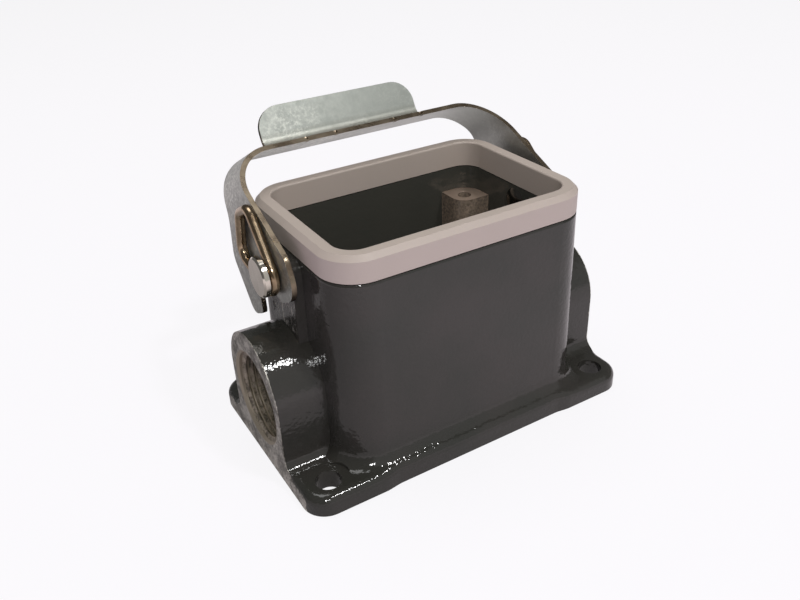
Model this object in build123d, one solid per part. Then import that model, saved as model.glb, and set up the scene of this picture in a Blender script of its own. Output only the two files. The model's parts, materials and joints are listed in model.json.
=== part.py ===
from build123d import *
from math import acos, atan2, cos, radians, sin, tan
import os

# Surface-mounting housing of a heavy duty rectangular connector, in millimetres.
# X runs along the plate, the lever stands open towards +Y, and Z is up.
# The origin is the middle of the plate's underside.

# Mounting plate
plate_length = 82.0
plate_width = 50.5
plate_thickness = 4.4
plate_corner_radius = 5.2
plate_edge_round = 2.0
waist_depth = 0.45
waist_length = 42.0
waist_run = 3.0
waist_blend = 8.0
screw_inset_x = 6.0
screw_inset_y = 5.25
screw_hole_diameter = 5.5
screw_seat_diameter = 9.6

# Housing walls
body_length = 60.0
body_width = 42.8
body_corner_radius = 8.0
wall = 3.4
floor_thickness = 3.2
draft_angle = 0.6
foot_radius = 3.6

# Cable entries, one in each short wall
entry_height = 15.1
entry_bore_diameter = 20.0
entry_chamfer = 0.5
boss_half_width = 12.4
boss_arch_height = 17.6
boss_flare_radius = 2.6

# Posts that take the screws of the contact insert
insert_pitch_x = 44.0
insert_pitch_y = 27.0
post_radius = 3.4
post_height = 40.6
tapped_hole_diameter = 3.3
tapped_hole_depth = 12.0

# Rim tongue and the profile gasket that sits on it
seal_height = 5.6
seal_roof = 1.4
seal_outer_skirt = 1.2
tongue_thickness = 1.2
seal_fit = 0.05
seal_gap = 0.2
seal_chamfer = 1.05
seal_inner_round = 0.4
seal_inner_drop = 0.4

# Pivot of the locking lever
pivot_height = 42.5
lug_thickness = 2.2
lug_width = 12.0
lug_rise = 3.7
lug_round = 2.5
ledge_over_lug = 0.4
pin_diameter = 4.0
pin_wall_fit = 0.02
pin_head_diameter = 8.4
pin_head_thickness = 1.3
pin_head_chamfer = 0.35
rivet_diameter = 6.2
rivet_height = 1.2

# Locking lever, one piece of folded sheet
sheet = 1.05
arm_gap = 0.3
lever_bore_fit = 0.06
lever_lean = 27.0
bar_rise = 25.7
bar_front = 10.3
bar_depth = 11.2
bar_bend_radius = 8.7
lobe_front = 8.7
lobe_front_rise = 2.2
lobe_front_round = 3.5
waist_back = 17.2
waist_back_rise = 16.0
waist_back_round = 9.0
cam_back = 23.9
cam_back_rise = 5.2
cam_back_round = 4.5
cam_heel_back = 20.7
cam_heel_drop = 8.15
cam_heel_round = 3.0
nose_front = 14.4
nose_round = 1.7
notch_back = 12.7
notch_front = 2.3
notch_drop = 3.9
notch_round = 1.2
lobe_heel_front = 0.2
lobe_heel_round = 0.8
lobe_drop = 6.15
lobe_toe_round = 4.6

# Finger tab folded up from the back of the bar, and nicks in the bar's front edge
tab_width = 40.6
tab_rise = 9.8
tab_corner_radius = 5.5
tab_bend_radius = 3.0
nick_width = 0.8
nick_depth = 0.5
nick_inner = 7.5
nick_outer = 14.6

# Wire spring on the outside of each arm
wire_diameter = 2.1
wire_eye_gap = 0.3
wire_side_gap = 0.05
wire_head_gap = 0.1
wire_end_angle = 8.0
wire_top_rise = 13.4
wire_top_front = -0.1
wire_top_back = 6.3
wire_back = 13.0
wire_back_rise = 5.2
wire_front_round = 2.4
wire_back_round = 3.0
wire_heel_round = 3.2
wire_right_swing = 9.0

# Overrun of every cut past the face that it leaves, and how far out the plate's rim begins
over = 1.0
rim_share = 0.95

# Sizes that follow from those above
half_length = plate_length / 2
half_width = plate_width / 2
screw_pitch_x = plate_length - 2 * screw_inset_x
screw_pitch_y = plate_width - 2 * screw_inset_y
ledge_height = pivot_height + lug_rise + ledge_over_lug
seal_top = ledge_height + seal_height
cavity_length = body_length - 2 * wall
cavity_width = body_width - 2 * wall
cavity_corner_radius = body_corner_radius - wall
tongue_top = seal_top - seal_roof
tongue_outside = seal_outer_skirt
tongue_inside = seal_outer_skirt + tongue_thickness
inner_ledge = ledge_height - seal_inner_drop
lug_face = body_length / 2 + lug_thickness
arm_inside = lug_face + arm_gap
arm_outside = arm_inside + sheet
wire_radius = wire_diameter / 2
wire_plane = arm_outside + wire_side_gap + wire_radius
head_inside = wire_plane + wire_radius + wire_head_gap
wire_eye_radius = pin_diameter / 2 + wire_eye_gap + wire_radius


def rounded_prism(length, width, corner, low, high):
    """Upright prism on a rounded rectangle, between two heights."""
    outline = Pos(0, 0, low) * RectangleRounded(length, width, corner)
    return extrude(outline, high - low)


def inset_prism(inset, low, high):
    """Prism on the body's own outline, moved inwards by inset all round."""
    return rounded_prism(body_length - 2 * inset, body_width - 2 * inset,
                         body_corner_radius - inset, low, high)


def corner_holes(pitch_x, pitch_y, diameter, low, high):
    """Four upright round cutters in a rectangle about the middle."""
    hole = extrude(Pos(0, 0, low) * Circle(diameter / 2), high - low)
    return [place * hole for place in GridLocations(pitch_x, pitch_y, 2, 2)]


def both_ends(solid):
    """A solid at the +X end together with its mirror image at the -X end."""
    return solid + mirror(solid, Plane.YZ)


def closed_face(pieces):
    """Face inside a closed run of lines and arcs."""
    return make_face([edge for piece in pieces for edge in piece.edges()])


def plate_outline():
    """Plate seen from above: rounded corners, long sides drawn in a little."""
    sketch = RectangleRounded(plate_length, plate_width, plate_corner_radius)
    half_waist = waist_length / 2
    for side in (1, -1):
        edge = side * half_width
        inner = side * (half_width - waist_depth)
        outer = side * (half_width + over)
        recess = Polygon((-half_waist - waist_run, edge), (-half_waist, inner),
                         (half_waist, inner), (half_waist + waist_run, edge),
                         (half_waist + waist_run, outer), (-half_waist - waist_run, outer),
                         align=None)
        sketch -= recess
    kinks = [v for v in sketch.vertices() if abs(v.X) < half_waist + waist_run + over]
    return fillet(kinks, waist_blend)


def body_block():
    """Drafted box of the housing, up to the ledge under the gasket."""
    growth = ledge_height * tan(radians(draft_angle))
    foot = RectangleRounded(body_length + 2 * growth, body_width + 2 * growth,
                            body_corner_radius + growth)
    return extrude(foot, ledge_height, taper=draft_angle)


def plate_and_body():
    """Plate and box as one casting, with a swept foot and a rounded plate edge."""
    slab = extrude(Rectangle(plate_length + 2 * plate_edge_round + 2 * foot_radius,
                             plate_width + 2 * plate_edge_round + 2 * foot_radius),
                   plate_thickness)
    casting = slab + body_block()
    foot_edges = [e for e in casting.edges()
                  if abs(e.center().Z - plate_thickness) < over / 10
                  and abs(e.center().X) < half_length - over
                  and abs(e.center().Y) < half_width]
    casting = fillet(foot_edges, foot_radius)
    casting = casting & extrude(plate_outline(), ledge_height)
    rim = []
    for e in casting.edges():
        middle = e.center()
        outer = max(abs(middle.X) / half_length, abs(middle.Y) / half_width) > rim_share
        if outer and plate_thickness - over / 10 < middle.Z < ledge_height / 2:
            rim.append(e)
    return fillet(rim, plate_edge_round)


def entry_boss():
    """Arched boss round the +X cable entry, flared into the plate, machined flush."""
    side = boss_half_width + boss_flare_radius
    reach = side + plate_edge_round
    top = plate_thickness
    springing = top + boss_flare_radius
    flare = boss_flare_radius * sin(radians(45))
    right = [
        Line((reach, 0), (reach, top)),
        Line((reach, top), (side, top)),
        ThreePointArc((side, top), (side - flare, springing - flare),
                      (boss_half_width, springing)),
        Line((boss_half_width, springing), (boss_half_width, boss_arch_height)),
    ]
    left = [mirror(piece, Plane.YZ) for piece in right]
    arch = ThreePointArc((boss_half_width, boss_arch_height),
                         (0, boss_arch_height + boss_half_width),
                         (-boss_half_width, boss_arch_height))
    base = Line((-reach, 0), (reach, 0))
    section = closed_face(right + [arch] + left + [base])
    start = body_length / 2 - wall / 2
    boss = extrude(Plane.YZ.offset(start) * section, half_length - start)
    relief = flare_end_relief()
    return boss - relief - mirror(relief, Plane.XZ)


def flare_end_relief():
    """Trumpet-shaped cutter that rounds the end of the +Y flare as the plate's edge is."""
    centre_y = boss_half_width + boss_flare_radius + plate_edge_round
    centre_z = plate_thickness + boss_flare_radius
    start = half_length - plate_edge_round
    full = boss_flare_radius + plate_edge_round
    bow = plate_edge_round * sin(radians(45))
    outline = [
        Line((start, 0), (start, boss_flare_radius)),
        ThreePointArc((start, boss_flare_radius), (start + bow, full - bow), (half_length, full)),
        Line((half_length, full), (half_length + over, full)),
        Line((half_length + over, full), (half_length + over, 0)),
        Line((half_length + over, 0), (start, 0)),
    ]
    cutter = revolve(closed_face(outline), Axis.X)
    return Pos(0, centre_y, centre_z) * cutter


def pivot_lug():
    """Flat pad on the +X wall that the lever's arm turns against."""
    top = pivot_height + lug_rise
    low = boss_arch_height
    start = body_length / 2 - wall / 2
    pad = Pos(0, (low + top) / 2) * Rectangle(lug_width, top - low)
    upper = pad.vertices().sort_by(Axis.Y)[-2:]
    return extrude(Plane.YZ.offset(start) * fillet(upper, lug_round), lug_face - start)


def insert_post():
    """Corner post for one insert screw, grown out of the two walls behind it."""
    low_x = -post_radius
    low_y = -post_radius
    high_x = (body_length - insert_pitch_x - wall) / 2
    high_y = (body_width - insert_pitch_y - wall) / 2
    section = Pos((low_x + high_x) / 2, (low_y + high_y) / 2) * Rectangle(high_x - low_x,
                                                                          high_y - low_y)
    inner = section.vertices().sort_by_distance((low_x, low_y))[0]
    return extrude(fillet(inner, post_radius), post_height)


def insert_posts():
    """All four posts, each turned towards its own corner."""
    first = Pos(insert_pitch_x / 2, insert_pitch_y / 2) * insert_post()
    pair = first + mirror(first, Plane.YZ)
    return (pair + mirror(pair, Plane.XZ)) & inset_prism(wall / 2, 0, post_height)


def housing():
    """The die-cast housing with all its holes."""
    casting = plate_and_body() + both_ends(entry_boss()) + both_ends(pivot_lug())
    casting += inset_prism(tongue_outside, ledge_height - over, tongue_top)
    casting -= rounded_prism(cavity_length, cavity_width, cavity_corner_radius,
                             floor_thickness, tongue_top + over)
    casting -= inset_prism(tongue_inside, inner_ledge, tongue_top + over)
    casting += insert_posts()
    casting -= cable_bores()
    casting -= corner_holes(screw_pitch_x, screw_pitch_y, screw_hole_diameter,
                            -over, plate_thickness + over)
    casting -= corner_holes(screw_pitch_x, screw_pitch_y, screw_seat_diameter,
                            plate_thickness, plate_thickness + foot_radius)
    casting -= corner_holes(insert_pitch_x, insert_pitch_y, tapped_hole_diameter,
                            post_height - tapped_hole_depth, post_height + over)
    bore = Circle(pin_diameter / 2 + pin_wall_fit)
    casting -= extrude(Plane.YZ * (Pos(0, pivot_height) * bore), lug_face + over, both=True)
    return casting


def cable_bores():
    """Both cable entries, bored from the end face into the cavity, with a broken edge."""
    radius = entry_bore_diameter / 2
    start = cavity_length / 2 - over
    bore = extrude(Plane.YZ.offset(start) * (Pos(0, entry_height) * Circle(radius)),
                   half_length + over - start)
    mouth_plane = Plane.YZ.offset(half_length - entry_chamfer)
    small = mouth_plane * (Pos(0, entry_height) * Circle(radius))
    large = mouth_plane.offset(entry_chamfer) * (Pos(0, entry_height)
                                                 * Circle(radius + entry_chamfer))
    return both_ends(bore + loft([small, large]))


def seal():
    """Profile gasket: a roof over the rim tongue with a skirt on each side of it."""
    low = ledge_height + seal_gap
    inner_low = inner_ledge + seal_gap
    outer = inset_prism(0, low, seal_top)
    top_edges = outer.faces().sort_by(Axis.Z)[-1].edges()
    outer = chamfer(top_edges, seal_chamfer)
    gasket = outer + inset_prism(tongue_inside + seal_fit, inner_low, seal_top - seal_roof)
    opening = rounded_prism(cavity_length, cavity_width, cavity_corner_radius,
                            inner_low - over, seal_top + over)
    slot = inset_prism(tongue_outside - seal_fit, low - over, tongue_top)
    slot -= inset_prism(tongue_inside + seal_fit, low - 2 * over, tongue_top + over)
    gasket = gasket - slot - opening
    mouth = [e for e in gasket.faces().sort_by(Axis.Z)[-1].inner_wires()[0].edges()]
    return fillet(mouth, seal_inner_round)


def pivot_pin():
    """Headed pin through the +X wall, riveted over inside the cavity."""
    inside = cavity_length / 2
    shank = extrude(Plane.YZ.offset(inside) * Circle(pin_diameter / 2), head_inside - inside)
    head = extrude(Plane.YZ.offset(head_inside) * Circle(pin_head_diameter / 2),
                   pin_head_thickness)
    head = chamfer(head.faces().sort_by(Axis.X)[-1].edges(), pin_head_chamfer)
    dome_radius = ((rivet_diameter / 2) ** 2 + rivet_height ** 2) / (2 * rivet_height)
    ball = Pos(inside - rivet_height + dome_radius, 0, 0) * Sphere(dome_radius)
    cut = Pos(inside - dome_radius, 0, 0) * Box(2 * dome_radius, 4 * dome_radius, 4 * dome_radius)
    return Pos(0, 0, pivot_height) * (shank + head + (ball & cut))


def arm_silhouette():
    """Side view of the lever about its pivot: first fore and aft, then rise."""
    corners = [
        ((-lobe_front, lobe_front_rise), lobe_front_round),
        ((bar_front, bar_rise), 0),
        ((bar_front + bar_depth, bar_rise), 0),
        ((waist_back, waist_back_rise), waist_back_round),
        ((cam_back, cam_back_rise), cam_back_round),
        ((cam_heel_back, -cam_heel_drop), cam_heel_round),
        ((nose_front, -cam_heel_drop), nose_round),
        ((notch_back, -notch_drop), notch_round),
        ((notch_front, -notch_drop), notch_round),
        ((-lobe_heel_front, -lobe_drop), lobe_heel_round),
        ((-lobe_front, -lobe_drop), lobe_toe_round),
    ]
    face = make_face(Polyline([point for point, radius in corners], close=True))
    for point, radius in corners:
        if radius:
            face = fillet(face.vertices().sort_by_distance(point)[0], radius)
    return face


def folded_strip():
    """Front view of the folded sheet: two arms and the bar, joined by large bends."""
    outer_radius = bar_bend_radius + sheet
    low = -cam_heel_drop - over
    outside = Pos(0, (bar_rise + low) / 2) * Rectangle(2 * arm_outside, bar_rise - low)
    outside = fillet(outside.vertices().sort_by(Axis.Y)[-2:], outer_radius)
    top = bar_rise - sheet
    bottom = low - over
    inside = Pos(0, (top + bottom) / 2) * Rectangle(2 * arm_inside, top - bottom)
    inside = fillet(inside.vertices().sort_by(Axis.Y)[-2:], bar_bend_radius)
    return outside - inside


def finger_tab():
    """Tab that stands up from the back of the bar, with rounded top corners."""
    back = bar_front + bar_depth + sheet
    outer_radius = tab_bend_radius + sheet
    front = back - outer_radius - sheet
    low = bar_rise - sheet
    high = bar_rise + tab_rise
    bow_out = outer_radius * (1 - cos(radians(45)))
    bow_in = tab_bend_radius * (1 - cos(radians(45)))
    rise_in = bar_rise + tab_bend_radius
    section = closed_face([
        Line((front, low), (back - outer_radius, low)),
        ThreePointArc((back - outer_radius, low), (back - bow_out, low + bow_out),
                      (back, low + outer_radius)),
        Line((back, low + outer_radius), (back, high)),
        Line((back, high), (back - sheet, high)),
        Line((back - sheet, high), (back - sheet, rise_in)),
        ThreePointArc((back - sheet, rise_in), (back - sheet - bow_in, bar_rise + bow_in),
                      (back - outer_radius, bar_rise)),
        Line((back - outer_radius, bar_rise), (front, bar_rise)),
        Line((front, bar_rise), (front, low)),
    ])
    tab = extrude(Plane.YZ * section, tab_width / 2, both=True)
    tips = [e for e in tab.edges().filter_by(Axis.Y) if e.center().Z > high - over]
    return fillet(tips, tab_corner_radius)


def bar_nicks():
    """Four shallow nicks across the front edge of the bar."""
    nick = Box(nick_width, 2 * nick_depth, 3 * sheet)
    places = [-nick_outer, -nick_inner, nick_inner, nick_outer]
    return [Pos(x, bar_front, bar_rise - sheet / 2) * nick for x in places]


def locking_lever():
    """The whole lever, built upright about its pivot and then leant back."""
    strip = extrude(Plane.XZ.offset(-cam_back - over) * folded_strip(),
                    cam_back + lobe_front + 2 * over)
    silhouette = extrude(Plane.YZ * arm_silhouette(), arm_outside + over, both=True)
    lever = (strip & silhouette) + finger_tab()
    for nick in bar_nicks():
        lever -= nick
    bore = Circle(pin_diameter / 2 + lever_bore_fit)
    lever -= extrude(Plane.YZ * bore, arm_outside + over, both=True)
    return lean_back(lever)


def lean_back(solid):
    """Turns a solid about the pivot from upright to the open position."""
    return Pos(0, 0, pivot_height) * Rot(-lever_lean, 0, 0) * solid


def eye_tangent(point, turn):
    """Angle on the wire's eye where a straight run to the point leaves it."""
    distance = (point[0] ** 2 + point[1] ** 2) ** 0.5
    return atan2(point[1], point[0]) + turn * acos(wire_eye_radius / distance)


def wire_path():
    """Middle line of the wire: round the pin's underside and up in a closed bow."""
    top_front = (wire_top_front, wire_top_rise)
    top_back = (wire_top_back, wire_top_rise)
    heel = (wire_back, wire_back_rise)
    leave = eye_tangent(top_front, 1)
    land = eye_tangent(heel, -1)
    start = (wire_eye_radius * cos(leave), wire_eye_radius * sin(leave))
    finish = (wire_eye_radius * cos(land), wire_eye_radius * sin(land))
    bow = FilletPolyline([start, top_front, top_back, heel, finish],
                         radius=[wire_front_round, wire_back_round, wire_heel_round])
    bottom = radians(270)
    gap = radians(wire_end_angle)
    front_end = bottom - gap
    back_end = bottom + gap
    land_turn = land + 2 * radians(180)
    front_half = eye_arc(front_end, leave)
    back_half = eye_arc(land_turn, back_end)
    return Wire([front_half] + list(bow.edges()) + [back_half])


def eye_arc(first, last):
    """Arc of the wire's eye between two angles."""
    middle = (first + last) / 2
    points = [(wire_eye_radius * cos(a), wire_eye_radius * sin(a)) for a in (first, middle, last)]
    return ThreePointArc(*points)


def lever_spring(swing):
    """Round wire spring on the outside of the +X arm, swung back on its pin."""
    path = Plane.YZ.offset(wire_plane) * wire_path()
    section = Plane(origin=path @ 0, z_dir=path % 0) * Circle(wire_radius)
    return lean_back(Rot(-swing, 0, 0) * sweep(section, path=path))


def mirrored(solid):
    """The same piece at the -X end."""
    return mirror(solid, Plane.YZ)


def main():
    os.makedirs("parts", exist_ok=True)
    pin = pivot_pin()
    pieces = {
        "housing": housing(),
        "seal": seal(),
        "locking_lever": locking_lever(),
        "pivot_pin_right": pin,
        "pivot_pin_left": mirrored(pin),
        "lever_spring_right": lever_spring(wire_right_swing),
        "lever_spring_left": mirrored(lever_spring(0)),
    }
    for name, solid in pieces.items():
        export_step(solid, "parts/" + name + ".step")


main()
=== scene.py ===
import json
from math import cos, pi, radians, sin

import bmesh
import bpy
from mathutils import Matrix, Vector


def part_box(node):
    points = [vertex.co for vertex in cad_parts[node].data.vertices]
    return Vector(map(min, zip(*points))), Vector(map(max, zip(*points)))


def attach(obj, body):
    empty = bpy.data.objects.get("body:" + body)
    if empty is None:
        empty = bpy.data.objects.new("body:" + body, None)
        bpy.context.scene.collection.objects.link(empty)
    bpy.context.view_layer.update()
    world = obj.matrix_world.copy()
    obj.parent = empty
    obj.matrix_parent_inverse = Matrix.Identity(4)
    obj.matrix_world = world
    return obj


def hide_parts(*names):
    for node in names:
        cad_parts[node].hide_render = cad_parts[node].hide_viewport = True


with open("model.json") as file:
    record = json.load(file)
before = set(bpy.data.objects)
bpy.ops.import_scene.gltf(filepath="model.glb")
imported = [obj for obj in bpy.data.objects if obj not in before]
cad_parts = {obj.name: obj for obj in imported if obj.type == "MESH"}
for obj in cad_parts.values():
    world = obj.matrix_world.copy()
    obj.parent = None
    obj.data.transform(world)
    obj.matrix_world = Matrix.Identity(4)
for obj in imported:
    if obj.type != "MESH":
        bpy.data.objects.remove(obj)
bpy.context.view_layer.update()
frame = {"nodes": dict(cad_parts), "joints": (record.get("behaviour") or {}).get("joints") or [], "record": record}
scene = bpy.context.scene


# The view of the photograph: a close three-quarter view from the front left and above, with the
# camera rolled a little. Its place is measured from the middle of the plate's underside.
MM = 0.001
CAMERA_PLACE = Vector((-81.23, -132.04, 116.0)) * MM
CAMERA_AZIMUTH = radians(-30.01)
CAMERA_ELEVATION = radians(30.34)
CAMERA_ROLL = radians(-2.52)
CAMERA_LENS = 35.74
CAMERA_NEAR = 5 * MM

camera = bpy.data.objects.new("camera", bpy.data.cameras.new("camera"))
scene.collection.objects.link(camera)
scene.camera = camera
camera.data.lens = CAMERA_LENS
camera.data.clip_start = CAMERA_NEAR
backwards = Vector((sin(CAMERA_AZIMUTH) * cos(CAMERA_ELEVATION),
                    -cos(CAMERA_AZIMUTH) * cos(CAMERA_ELEVATION),
                    sin(CAMERA_ELEVATION)))
sidewards = Vector((0, 0, 1)).cross(backwards).normalized()
upwards = backwards.cross(sidewards)
rolled_side = sidewards * cos(CAMERA_ROLL) + upwards * sin(CAMERA_ROLL)
rolled_up = upwards * cos(CAMERA_ROLL) - sidewards * sin(CAMERA_ROLL)
turn = Matrix((rolled_side, rolled_up, backwards)).transposed().to_4x4()
camera.matrix_world = Matrix.Translation(CAMERA_PLACE) @ turn


# The housing is one aluminium die casting under glossy, pebbled black enamel, thin on the posts.
# Inside the cavity the enamel is painted paler, a painted fill light that lifts the cavity's shade.
# Its end faces are milled flush after painting, the cable entries are bored to bare metal, and the
# lever has rubbed through the enamel on the pads that it turns against.
ENAMEL = (0.028, 0.0285, 0.024, 1)
ENAMEL_WARM = (0.036, 0.033, 0.029, 1)
ENAMEL_LIT_INSIDE = (0.052, 0.051, 0.043, 1)
ENAMEL_THIN = (0.31, 0.235, 0.175, 1)
MILLED = (0.60, 0.575, 0.515, 1)
MILLED_DARK = (0.15, 0.14, 0.12, 1)
POST_METAL = (0.54, 0.41, 0.32, 1)
BORED = (0.42, 0.365, 0.285, 1)
ENAMEL_ROUGHNESS = (0.05, 0.085)
BARE_ROUGHNESS = 0.42
BARE_METALLIC = 0.7
NOISE_RANGE = (0.3, 0.7)
CLOUD_RANGE = (0.35, 0.65)
CLOUD_SCALE = 60.0
PEBBLE_SCALE = 1150.0
SWELL_SCALE = 210.0
SKIN_DEPTH = 0.075 * MM
CUTTER_RELIEF = 0.15
CHIP_SCALE = 1500.0
CHIP_REACH = 0.6 * MM
CHIP_SHARE = 0.3
THIN_LEAST = 0.3
SCRAPE_SCALE = 800.0
SCRAPE_STRETCH = (1.0, 1.0, 0.35)
SCRAPE_RANGE = (0.52, 0.6)
RUBBED_MOST = 0.8
END_SLACK = 0.03 * MM
END_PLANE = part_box("housing")[1].x - END_SLACK
LEDGE = 46.6 * MM
LEDGE_ROUND = 0.75 * MM
LEDGE_FALL = 4.0
PAD_PLANE = 32.2 * MM
PAD_SLACK = 0.05 * MM
PAD_HALF = 6.2 * MM
PAD_LOW = 30.4 * MM
CAVITY_HALF = Vector((26.7, 18.1)) * MM
POST_INSIDE = Vector((18.5, 10.0)) * MM
POST_SLACK = 0.02 * MM

mounts = {mount["name"]: mount for mount in frame["record"]["mounts"]}
POST_TOP = mounts["insert_screws"]["pos_m"][2]
BORE_HEIGHT = mounts["cable_entry_left"]["pos_m"][2]
BORE_RADIUS = mounts["cable_entry_left"]["dims"]["r_mm"] * MM
BORE_CHAMFER = 0.55 * MM
BORE_EDGE = BORE_RADIUS + BORE_CHAMFER
BORE_START = 26.55 * MM


def add(tree, kind, **settings):
    """One node, with the settings given by name."""
    node = tree.nodes.new("ShaderNode" + kind)
    for key, value in settings.items():
        setattr(node, key, value)
    return node


def feed(tree, socket, value):
    """Sets a socket to a plain value, or links another socket into it."""
    if isinstance(value, bpy.types.NodeSocket):
        tree.links.new(value, socket)
    else:
        socket.default_value = value


def reckon(tree, operation, *values):
    """A Math node over one, two or three sockets or numbers."""
    node = add(tree, "Math", operation=operation)
    for socket, value in zip(node.inputs, values):
        feed(tree, socket, value)
    return node.outputs[0]


def product(tree, first, *others):
    """The product of several masks or numbers."""
    for value in others:
        first = reckon(tree, "MULTIPLY", first, value)
    return first


def over(tree, value, limit):
    """A mask that is 1 where a value is more than a limit."""
    return reckon(tree, "GREATER_THAN", value, limit)


def under(tree, value, limit):
    """A mask that is 1 where a value is less than a limit."""
    return reckon(tree, "LESS_THAN", value, limit)


def near(tree, value, middle, slack):
    """A mask that is 1 where a value is close to a middle."""
    return product(tree, over(tree, value, middle - slack), under(tree, value, middle + slack))


def mix_colour(tree, factor, low, high):
    """A colour between two, by a factor."""
    node = add(tree, "Mix", data_type="RGBA")
    for socket, value in ((node.inputs[0], factor), (node.inputs[6], low), (node.inputs[7], high)):
        feed(tree, socket, value)
    return node.outputs[2]


def mix_value(tree, factor, low, high):
    """A number between two, by a factor."""
    node = add(tree, "Mix", data_type="FLOAT")
    for socket, value in ((node.inputs[0], factor), (node.inputs[2], low), (node.inputs[3], high)):
        feed(tree, socket, value)
    return node.outputs[0]


def spread(tree, value, low, high, start=0.0, end=1.0):
    """Maps a range of a value onto another range, held at the ends."""
    node = add(tree, "MapRange")
    for socket, number in zip(node.inputs, (value, low, high, start, end)):
        feed(tree, socket, number)
    return node.outputs[0]


def noise(tree, place, scale, detail=2.0, roughness=0.5, stretch=None):
    """Noise at a place, drawn out along an axis where stretch says so."""
    if stretch:
        mapping = add(tree, "Mapping")
        mapping.inputs["Scale"].default_value = stretch
        tree.links.new(place, mapping.inputs["Vector"])
        place = mapping.outputs[0]
    node = add(tree, "TexNoise")
    settings = {"Vector": place, "Scale": scale, "Detail": detail, "Roughness": roughness}
    for name, value in settings.items():
        feed(tree, node.inputs[name], value)
    return node.outputs["Fac"]


def bump(tree, height, depth):
    """Surface relief, from a height in shares of a real depth."""
    node = add(tree, "Bump")
    node.inputs["Strength"].default_value = 1.0
    node.inputs["Distance"].default_value = depth
    tree.links.new(height, node.inputs["Height"])
    return node.outputs[0]


def new_material(name):
    """An empty material, with the point on the object and its three coordinates."""
    material = bpy.data.materials.new(name)
    material.use_nodes = True
    tree = material.node_tree
    tree.nodes.clear()
    place = add(tree, "TexCoord").outputs["Object"]
    parts = add(tree, "SeparateXYZ")
    tree.links.new(place, parts.inputs[0])
    return material, tree, place, parts.outputs


def finish_surface(tree, **inputs):
    """A Principled surface with its inputs, wired to the output."""
    shader = add(tree, "BsdfPrincipled")
    for name, value in inputs.items():
        feed(tree, shader.inputs[name.replace("_", " ")], value)
    tree.links.new(shader.outputs[0], add(tree, "OutputMaterial").inputs[0])


def new_group(name, numbers, results):
    """A node group that takes a place and some numbers, with what goes in and what comes out."""
    group = bpy.data.node_groups.new(name, "ShaderNodeTree")
    group.interface.new_socket("Place", in_out="INPUT", socket_type="NodeSocketVector")
    for label, value in numbers.items():
        socket = group.interface.new_socket(label, in_out="INPUT", socket_type="NodeSocketFloat")
        socket.default_value = value
    for label in results:
        group.interface.new_socket(label, in_out="OUTPUT", socket_type="NodeSocketFloat")
    given = group.nodes.new("NodeGroupInput").outputs
    result = group.nodes.new("NodeGroupOutput").inputs
    return group, given, result


def use_group(tree, group, place, **numbers):
    """Places a node group in a material with its own numbers, and gives its outputs."""
    node = tree.nodes.new("ShaderNodeGroup")
    node.node_tree = group
    tree.links.new(place, node.inputs["Place"])
    for name, value in numbers.items():
        node.inputs[name].default_value = value
    return node.outputs


# Cut aluminium: dark pits and stains between the bright marks that the cutter leaves.
BLOTCH_SCALE = 330.0
BLOTCH_SHARE = 0.6
GRIT_SCALE = 2600.0
CUTTER_SCALE = 900.0
CUTTER_STRETCH = (0.2, 1.0, 0.25)
STAIN_RANGE = (0.42, 0.58)

cut_metal, given, result = new_group("cut_aluminium", {"Scale": BLOTCH_SCALE}, ("Bright", "Marks"))
blotches = noise(cut_metal, given["Place"], given["Scale"], detail=4.0, roughness=0.6)
grit = noise(cut_metal, given["Place"], GRIT_SCALE, detail=2.0, roughness=0.6)
marks = noise(cut_metal, given["Place"], CUTTER_SCALE, detail=3.0, roughness=0.6, stretch=CUTTER_STRETCH)
stains = mix_value(cut_metal, BLOTCH_SHARE, grit, blotches)
cut_metal.links.new(spread(cut_metal, stains, *STAIN_RANGE), result["Bright"])
cut_metal.links.new(marks, result["Marks"])

enamel, tree, place, (along, across, height) = new_material("black_enamel")
outward = reckon(tree, "ABSOLUTE", along)
sideways = reckon(tree, "ABSOLUTE", across)

# Where the metal is bare: the milled ends, the bored entries, the posts' tops and the rubbed pads.
chips = noise(tree, place, CHIP_SCALE, detail=3.0, roughness=0.6)
chipped_edge = reckon(tree, "MULTIPLY_ADD", chips, CHIP_REACH, outward)
milled = over(tree, chipped_edge, END_PLANE + CHIP_SHARE * CHIP_REACH)
rise = reckon(tree, "SUBTRACT", height, BORE_HEIGHT)
from_axis = reckon(tree, "MULTIPLY_ADD", across, across, product(tree, rise, rise))
bored = product(tree, under(tree, from_axis, BORE_EDGE * BORE_EDGE), over(tree, outward, BORE_START))
in_cavity = product(tree, under(tree, outward, CAVITY_HALF.x), under(tree, sideways, CAVITY_HALF.y))
at_post = product(tree, in_cavity, over(tree, outward, POST_INSIDE.x), over(tree, sideways, POST_INSIDE.y))
post_top = product(tree, at_post, near(tree, height, POST_TOP, POST_SLACK))
post_side = product(tree, at_post, under(tree, height, POST_TOP))
on_pad = product(tree, near(tree, outward, PAD_PLANE, PAD_SLACK), under(tree, sideways, PAD_HALF),
                 over(tree, height, PAD_LOW))
scrapes = noise(tree, place, SCRAPE_SCALE, detail=4.0, roughness=0.7, stretch=SCRAPE_STRETCH)
rubbed = product(tree, on_pad, spread(tree, scrapes, *SCRAPE_RANGE, end=RUBBED_MOST))
bare = reckon(tree, "MAXIMUM", reckon(tree, "MAXIMUM", milled, bored),
              reckon(tree, "MAXIMUM", post_top, rubbed))

# The colour of the bare metal and of the enamel beside it.
cut = use_group(tree, cut_metal, place)
metal = mix_colour(tree, cut["Bright"], MILLED_DARK, MILLED)
metal = mix_colour(tree, bored, metal, BORED)
metal = mix_colour(tree, post_top, metal, POST_METAL)
cloud = noise(tree, place, CLOUD_SCALE, detail=3.0)
paint = mix_colour(tree, spread(tree, cloud, *CLOUD_RANGE), ENAMEL, ENAMEL_WARM)
# The cavity's enamel is painted paler here: painted fill light.
paint = mix_colour(tree, in_cavity, paint, ENAMEL_LIT_INSIDE)
worn_thin = product(tree, post_side, spread(tree, chips, *NOISE_RANGE, start=THIN_LEAST))
paint = mix_colour(tree, worn_thin, paint, ENAMEL_THIN)

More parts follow.
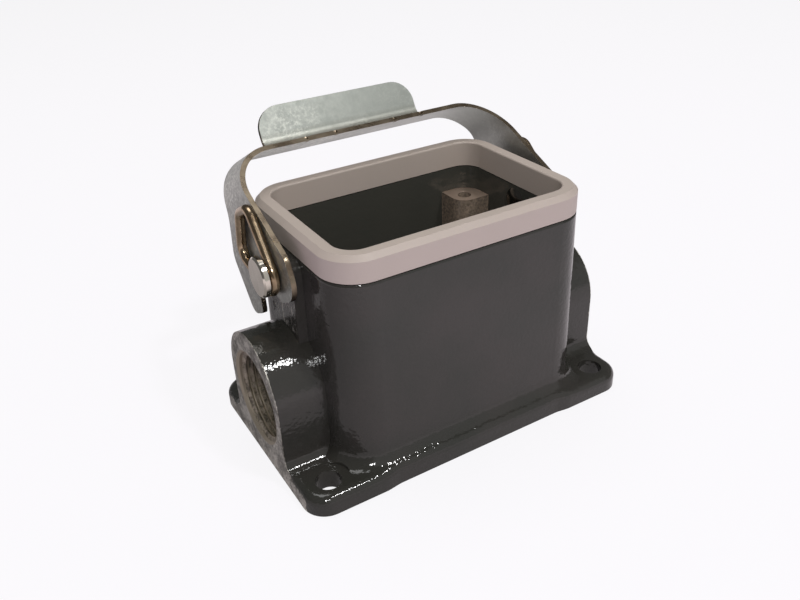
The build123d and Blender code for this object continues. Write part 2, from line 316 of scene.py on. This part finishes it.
# The skin's pebbles and slow swells, falling off where the outside turns in to the ledge.
pebbles = noise(tree, place, PEBBLE_SCALE, detail=2.0, roughness=0.45)
swells = noise(tree, place, SWELL_SCALE, detail=1.0, roughness=0.4)
to_ledge = spread(tree, height, LEDGE - LEDGE_ROUND, LEDGE)
outside = reckon(tree, "SUBTRACT", 1.0, in_cavity)
fall = product(tree, to_ledge, to_ledge, outside, LEDGE_FALL)
skin = reckon(tree, "SUBTRACT", reckon(tree, "ADD", swells, pebbles), fall)
relief = mix_value(tree, bare, skin, product(tree, cut["Marks"], CUTTER_RELIEF))
gloss = spread(tree, cloud, *NOISE_RANGE, *ENAMEL_ROUGHNESS)
finish_surface(tree, Base_Color=mix_colour(tree, bare, paint, metal),
               Metallic=product(tree, bare, BARE_METALLIC),
               Roughness=mix_value(tree, bare, gloss, BARE_ROUGHNESS),
               Normal=bump(tree, relief, SKIN_DEPTH))
frame["nodes"]["housing"].data.materials[0] = enamel


# Both cable entries are tapped M20 x 1.5 in the casting's bare aluminium. Each thread is one ridge
# along a helix, from inside to the mouth, and its root lies just inside the bore's wall.
BORED_DARK = (0.12, 0.103, 0.078, 1)
TAPPED_METALLIC = 0.55
TAPPED_ROUGHNESS = 0.45
TAPPED_SCALE = 500.0
THREAD_PITCH = 1.5 * MM
THREAD_DEPTH = 0.8 * MM
ROOT_DEPTH = 0.05 * MM
ROOT_SHARE = 0.42
CREST_HALF = 0.1 * MM
THREAD_START = BORE_START + 0.4 * MM
THREAD_END = END_PLANE - 0.6 * MM
THREAD_STEPS = 64
SHARP_THREAD = radians(35)

tapped, tree, place, _ = new_material("bored_aluminium")
cut = use_group(tree, cut_metal, place, Scale=TAPPED_SCALE)
finish_surface(tree, Base_Color=mix_colour(tree, cut["Bright"], BORED_DARK, BORED),
               Metallic=TAPPED_METALLIC, Roughness=TAPPED_ROUGHNESS)


def make_piece(name, shell, materials, body, sharp):
    """Turns finished mesh data into a piece that rides on a body."""
    mesh = bpy.data.meshes.new(name)
    shell.to_mesh(mesh)
    shell.free()
    mesh.shade_smooth()
    mesh.set_sharp_from_angle(angle=sharp)
    for material in materials:
        mesh.materials.append(material)
    piece = bpy.data.objects.new(name, mesh)
    scene.collection.objects.link(piece)
    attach(piece, body)
    return piece


def cut_thread(name, side):
    """One entry's thread ridge, swept along its helix on the side that side says."""
    steps = int((THREAD_END - THREAD_START) / THREAD_PITCH * THREAD_STEPS)
    root = THREAD_PITCH * ROOT_SHARE
    profile = [(-root, BORE_RADIUS + ROOT_DEPTH), (-CREST_HALF, BORE_RADIUS - THREAD_DEPTH),
               (CREST_HALF, BORE_RADIUS - THREAD_DEPTH), (root, BORE_RADIUS + ROOT_DEPTH)]
    shell = bmesh.new()
    points = [shell.verts.new((side * (THREAD_START + step), 0, BORE_HEIGHT + radius))
              for step, radius in profile]
    lines = [shell.edges.new(pair) for pair in zip(points, points[1:])]
    bmesh.ops.spin(shell, geom=points + lines, cent=(0, 0, BORE_HEIGHT), axis=(1, 0, 0),
                   dvec=(side * THREAD_PITCH / THREAD_STEPS, 0, 0),
                   angle=side * 2 * pi * steps / THREAD_STEPS, steps=steps, use_duplicate=False)
    bmesh.ops.recalc_face_normals(shell, faces=shell.faces)
    make_piece(name, shell, [tapped], "housing", SHARP_THREAD)


cut_thread("entry_thread_right", 1)
cut_thread("entry_thread_left", -1)


# The gasket is moulded in pale grey nitrile rubber. It has a satin skin, faintly warm, with a little
# dust in the grain, and it is pushed over the rim without glue.
RUBBER = (0.477, 0.403, 0.358, 1)
RUBBER_DULL = (0.422, 0.361, 0.313, 1)
RUBBER_ROUGHNESS = (0.42, 0.52)
RUBBER_GRAIN_SCALE = 2600.0
RUBBER_GRAIN_DEPTH = 0.012 * MM
RUBBER_PATCH_SCALE = 45.0

rubber, tree, place, _ = new_material("grey_rubber")
grain = noise(tree, place, RUBBER_GRAIN_SCALE)
patches = noise(tree, place, RUBBER_PATCH_SCALE, detail=3.0)
finish_surface(tree, Base_Color=mix_colour(tree, patches, RUBBER_DULL, RUBBER),
               Roughness=spread(tree, patches, *NOISE_RANGE, *RUBBER_ROUGHNESS),
               Normal=bump(tree, grain, RUBBER_GRAIN_DEPTH))
frame["nodes"]["seal"].data.materials[0] = rubber


# The locking lever is stamped and folded from zinc-plated steel sheet. The flat faces show a faint
# spangle; the arms are painted darker, a painted shade, and the bar's top and the fold at the tab's
# foot are painted dark and rougher, a painted shade that hides the fold's sheen. The sheared edges are
# a little rounded, and darker and warmer than the faces, with painted shade at grazing angles and
# along the tab. It is the CAD lever's own mesh with its edges broken, and it stands for that node.
ZINC = (0.47, 0.495, 0.455, 1)
ZINC_SHADED_ARMS = (0.31, 0.315, 0.295, 1)
ZINC_BRIGHT = (0.84, 0.86, 0.79, 1)
ZINC_FOLD_SHADE = (0.16, 0.145, 0.115, 1)
ZINC_METALLIC = 0.9
ZINC_DULL_METALLIC = 0.5
ZINC_ROUGHNESS = (0.42, 0.34)
ZINC_DULL_ROUGHNESS = 0.5
FLECK_DEPTH = 0.012 * MM
MOTTLE_SCALE = 420.0
MOTTLE_RANGE = (0.35, 0.7)
MOTTLED_MOST = 0.6
FLECKED_END = 8 * MM
FLECKED_START = -12 * MM
FLECKED_LEAST = 0.25
SHINE_IN_ARM_SHADE = 0.5
SHEARED = (0.20, 0.155, 0.11, 1)
SHEARED_BRIGHT = (0.36, 0.295, 0.215, 1)
SHEARED_PAINTED_SHADE = (0.07, 0.055, 0.04, 1)
SHEARED_TINT = (0.25, 0.22, 0.18, 1)
SHEARED_METALLIC = 0.85
SHEARED_ROUGHNESS = (0.24, 0.32)
RIM_RANGE = (0.35, 0.8)
PIVOT = Vector(frame["joints"][0]["pos_m"])
LEAN = radians(27)
FORE = Vector((0, cos(LEAN), -sin(LEAN)))
RISE = Vector((0, sin(LEAN), cos(LEAN)))
SHEET = 1.05 * MM
ARM_SIDE = 31.5 * MM
ARM_TOP = 19.0 * MM
BAR_RISE = 25.7 * MM
BAR_SKIN = 0.8 * SHEET
FOLD_SHADE_RISE = BAR_RISE + 0.5 * MM
FOLD_TOP = 29.6 * MM
TAB_HALF = 20.7 * MM
TAB_FORE = 17.0 * MM
TAB_LOW = 24.1 * MM
TAB_FLAT = 29.2 * MM
EDGE_BREAK = 0.24 * MM
EDGE_SEGMENTS = 3
MERGE_REACH = 0.001 * MM
FLAT_ANGLE = radians(1)
SHARP_FOLD = radians(35)
ALL_SMOOTH = radians(180)
TURNED = 0.5
TURNED_FORE = 0.25

# Plating: soft clouds over the metal and fine crystal flecks where the clouds are bright.
FLECK_RANGE = (0.49, 0.60)

plating, given, result = new_group("plating", {"Fine": 1500.0, "Broad": 70.0}, ("Clouds", "Flecks"))
clouds = noise(plating, given["Place"], given["Broad"], detail=3.0, roughness=0.6)
clouds = spread(plating, clouds, *CLOUD_RANGE)
flecks = noise(plating, given["Place"], given["Fine"], detail=4.0, roughness=0.7)
flecks = spread(plating, flecks, *FLECK_RANGE)
plating.links.new(clouds, result["Clouds"])
plating.links.new(product(plating, clouds, flecks), result["Flecks"])

# How far a point lies above the pivot, measured along the leaning lever.
leaning, given, result = new_group("rise_along_lever", {}, ("Rise",))
from_pivot = add(leaning, "VectorMath", operation="SUBTRACT")
leaning.links.new(given["Place"], from_pivot.inputs[0])
from_pivot.inputs[1].default_value = PIVOT
along_lever = add(leaning, "VectorMath", operation="DOT_PRODUCT")
leaning.links.new(from_pivot.outputs[0], along_lever.inputs[0])
along_lever.inputs[1].default_value = RISE
leaning.links.new(along_lever.outputs["Value"], result["Rise"])

zinc, tree, place, (along, _, _) = new_material("zinc_sheet")
coat = use_group(tree, plating, place)
rise = use_group(tree, leaning, place)["Rise"]
above_arms = spread(tree, rise, ARM_TOP, BAR_RISE)
# The bar's top and the fold at the tab's foot are painted dark: a painted shade that hides the fold's sheen. They
# are also rougher and less metallic.
fold_shade = product(tree, spread(tree, rise, BAR_RISE - BAR_SKIN, BAR_RISE),
                 spread(tree, rise, FOLD_SHADE_RISE, FOLD_TOP, start=1.0, end=0.0))
flecked = spread(tree, along, FLECKED_END, FLECKED_START, start=FLECKED_LEAST)
mottle = noise(tree, place, MOTTLE_SCALE, detail=4.0, roughness=0.7)
mottled = product(tree, spread(tree, mottle, *MOTTLE_RANGE, end=MOTTLED_MOST), flecked)
shine = reckon(tree, "MULTIPLY_ADD", coat["Flecks"], flecked, mottled)
# The arms are painted darker and their flecks dimmer than the tab's: painted shade.
shine = product(tree, shine, mix_value(tree, above_arms, SHINE_IN_ARM_SHADE, 1.0))
plated = mix_colour(tree, above_arms, ZINC_SHADED_ARMS, ZINC)
plated = mix_colour(tree, shine, plated, ZINC_BRIGHT)
plated_roughness = mix_value(tree, coat["Clouds"], *ZINC_ROUGHNESS)
finish_surface(tree, Base_Color=mix_colour(tree, fold_shade, plated, ZINC_FOLD_SHADE),
               Metallic=mix_value(tree, fold_shade, ZINC_METALLIC, ZINC_DULL_METALLIC),
               Roughness=mix_value(tree, fold_shade, plated_roughness, ZINC_DULL_ROUGHNESS),
               Normal=bump(tree, coat["Flecks"], FLECK_DEPTH))

sheared, tree, place, _ = new_material("sheared_edge")
coat = use_group(tree, plating, place, Fine=900.0, Broad=230.0)
rise = use_group(tree, leaning, place)["Rise"]
# The sheared edges are painted darker where they are seen at a grazing angle and all along the tab: painted shade.
grazing = add(tree, "LayerWeight")
grazing.inputs["Blend"].default_value = 0.5
grazing_shade = spread(tree, grazing.outputs["Facing"], *RIM_RANGE)
tab_edge_shade = spread(tree, rise, BAR_RISE + SHEET, FOLD_TOP)
steel = mix_colour(tree, coat["Clouds"], SHEARED, SHEARED_BRIGHT)
steel = mix_colour(tree, reckon(tree, "MAXIMUM", grazing_shade, tab_edge_shade), steel, SHEARED_PAINTED_SHADE)
finish_surface(tree, Base_Color=steel, Metallic=SHEARED_METALLIC, Specular_Tint=SHEARED_TINT,
               Roughness=mix_value(tree, coat["Clouds"], *SHEARED_ROUGHNESS))


def is_sheared(face):
    """Whether a face of the folded sheet runs across its thickness."""
    centre = face.calc_center_median() - PIVOT
    normal = face.normal
    if abs(centre.x) > ARM_SIDE:
        return abs(normal.x) < TURNED
    if abs(centre.x) < TAB_HALF and centre.dot(FORE) > TAB_FORE and centre.dot(RISE) > TAB_LOW:
        on_flat = centre.dot(RISE) > TAB_FLAT
        return abs(normal.x) > TURNED or (on_flat and abs(normal.dot(FORE)) < TURNED)
    if abs(centre.x) < TAB_HALF and abs(normal.x) > TURNED:
        return True
    return abs(normal.dot(FORE)) > TURNED_FORE


shell = bmesh.new()
shell.from_mesh(frame["nodes"]["locking_lever"].data)
bmesh.ops.remove_doubles(shell, verts=shell.verts, dist=MERGE_REACH)
bmesh.ops.dissolve_limit(shell, angle_limit=FLAT_ANGLE, verts=shell.verts, edges=shell.edges)
for face in shell.faces:
    face.material_index = int(is_sheared(face))
folds = [edge for edge in shell.edges if len(edge.link_faces) == 2
         and edge.calc_face_angle() > SHARP_FOLD]
rounded = bmesh.ops.bevel(shell, geom=folds, offset=EDGE_BREAK, affect="EDGES",
                          segments=EDGE_SEGMENTS, profile=0.5, material=-1, clamp_overlap=True)
for face in rounded["faces"]:
    face.material_index = 1
lever = make_piece("locking_lever_sheet", shell, [zinc, sheared], "lever", ALL_SMOOTH)
lever.modifiers.new("even_faces", "WEIGHTED_NORMAL")
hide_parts("locking_lever")


# The pivot pins are bright nickel-plated steel, turned flat on their heads. Each is pushed through
# the arm and the lug from outside and riveted over in the cavity, where its end is painted dark, a
# painted reflection of the dark cavity that the bright dome mirrors.
NICKEL = (0.78, 0.73, 0.64, 1)
NICKEL_DULL = (0.66, 0.61, 0.53, 1)
RIVET_PAINTED_SHADE = (0.12, 0.112, 0.10, 1)
NICKEL_ROUGHNESS = (0.15, 0.26)
CAVITY_WALL = 28.0 * MM

nickel, tree, place, (along, _, _) = new_material("bright_nickel")
coat = use_group(tree, plating, place, Fine=1200.0, Broad=180.0)
# The ends inside the cavity are painted dark: painted reflection of the cavity.
inner_end = under(tree, reckon(tree, "ABSOLUTE", along), CAVITY_WALL)
head = mix_colour(tree, coat["Clouds"], NICKEL_DULL, NICKEL)
finish_surface(tree, Base_Color=mix_colour(tree, inner_end, head, RIVET_PAINTED_SHADE), Metallic=1.0,
               Roughness=mix_value(tree, coat["Flecks"], *NICKEL_ROUGHNESS))
for side in ("left", "right"):
    frame["nodes"]["pivot_pin_" + side].data.materials[0] = nickel


# The springs are bent from drawn round steel wire with a thin bronze-coloured plating. Each lies
# round its pin, between the pin's head and the arm.
BRONZE = (0.50, 0.385, 0.26, 1)
BRONZE_DULL = (0.30, 0.215, 0.135, 1)
BRONZE_ROUGHNESS = (0.2, 0.32)

wire, tree, place, _ = new_material("bronzed_wire")
coat = use_group(tree, plating, place, Fine=1200.0, Broad=240.0)
finish_surface(tree, Base_Color=mix_colour(tree, coat["Clouds"], BRONZE_DULL, BRONZE), Metallic=1.0,
               Roughness=mix_value(tree, coat["Flecks"], *BRONZE_ROUGHNESS))
for side in ("left", "right"):
    frame["nodes"]["lever_spring_" + side].data.materials[0] = wire


# The floor is plain pale paper. The camera sees it as white. Glossy rays see it glow, a painted
# reflection that darkens towards the back left, and it keeps the housing's shadow.
FLOOR_HALF = 1500 * MM
FLOOR_COLOUR = (0.84, 0.74, 0.92, 1)
FLOOR_GLOW = 0.85
WHITE = (1, 1, 1, 1)
IN_GLOSS = (0.80, 0.745, 0.75, 1)
IN_GLOSS_DARK = (0.17, 0.17, 0.145, 1)
SHADE_MIDDLE = Vector((-80, 30, 0)) * MM
SHADE_FROM = 25 * MM
SHADE_TO = 145 * MM

paper, tree, place, _ = new_material("pale_floor")
seen = add(tree, "LightPath").outputs
shown = reckon(tree, "MAXIMUM", seen["Is Camera Ray"], seen["Is Glossy Ray"])
matt = add(tree, "BsdfDiffuse")
matt.inputs["Color"].default_value = FLOOR_COLOUR
away = add(tree, "VectorMath", operation="DISTANCE")
tree.links.new(place, away.inputs[0])
away.inputs[1].default_value = SHADE_MIDDLE
shade = spread(tree, away.outputs["Value"], SHADE_FROM, SHADE_TO)
in_gloss = mix_colour(tree, shade, IN_GLOSS_DARK, IN_GLOSS)
glow = add(tree, "Emission")
tree.links.new(mix_colour(tree, seen["Is Glossy Ray"], WHITE, in_gloss), glow.inputs["Color"])
blend = add(tree, "MixShader")
tree.links.new(product(tree, shown, FLOOR_GLOW), blend.inputs[0])
tree.links.new(matt.outputs[0], blend.inputs[1])
tree.links.new(glow.outputs[0], blend.inputs[2])
tree.links.new(blend.outputs[0], add(tree, "OutputMaterial").inputs[0])

shell = bmesh.new()
bmesh.ops.create_grid(shell, x_segments=1, y_segments=1, size=FLOOR_HALF)
floor_mesh = bpy.data.meshes.new("floor")
shell.to_mesh(floor_mesh)
shell.free()
floor_mesh.materials.append(paper)
floor = bpy.data.objects.new("floor", floor_mesh)
scene.collection.objects.link(floor)


# The studio round it is an even, dim surround that the camera sees as white, and dimmer still in
# the gloss.
SURROUND = 0.3
SURROUND_IN_GLOSS = 0.12

world = bpy.data.worlds.new("surround")
scene.world = world
world.use_nodes = True
tree = world.node_tree
tree.nodes.clear()
seen = add(tree, "LightPath").outputs
shown = reckon(tree, "MAXIMUM", seen["Is Camera Ray"], seen["Is Transmission Ray"])
strength = mix_value(tree, seen["Is Glossy Ray"], SURROUND, SURROUND_IN_GLOSS)
sky = add(tree, "Background")
sky.inputs["Color"].default_value = WHITE
tree.links.new(mix_value(tree, shown, strength, 1.0), sky.inputs["Strength"])
tree.links.new(sky.outputs[0], add(tree, "OutputWorld").inputs[0])


# The light is soft: a wide panel in front, a small lamp above it on each side, and a panel overhead.
# All are turned towards the middle of the housing. Each has its place, its size and its watts.
MIDDLE = Vector((0, 0, 30)) * MM
LAMPS = {
    "lamp_right": (Vector((245, -438, 877)) * MM, 85 * MM, 2.4),
    "lamp_left": (Vector((-262, -616, 635)) * MM, 90 * MM, 2.3),
    "panel_front": (Vector((240, -1000, 560)) * MM, 1500 * MM, 2.4),
    "panel_above": (Vector((-40, 160, 620)) * MM, 320 * MM, 1.0),
}


def panel_light(name, place, size, power):
    """A square light at a place, turned towards the housing."""
    lamp = bpy.data.lights.new(name, "AREA")
    lamp.size = size
    lamp.energy = power
    holder = bpy.data.objects.new(name, lamp)
    scene.collection.objects.link(holder)
    holder.location = place
    holder.rotation_mode = "QUATERNION"
    holder.rotation_quaternion = (place - MIDDLE).to_track_quat("Z", "Y")


for name, (place, size, power) in LAMPS.items():
    panel_light(name, place, size, power)

scene.view_settings.view_transform = "Standard"
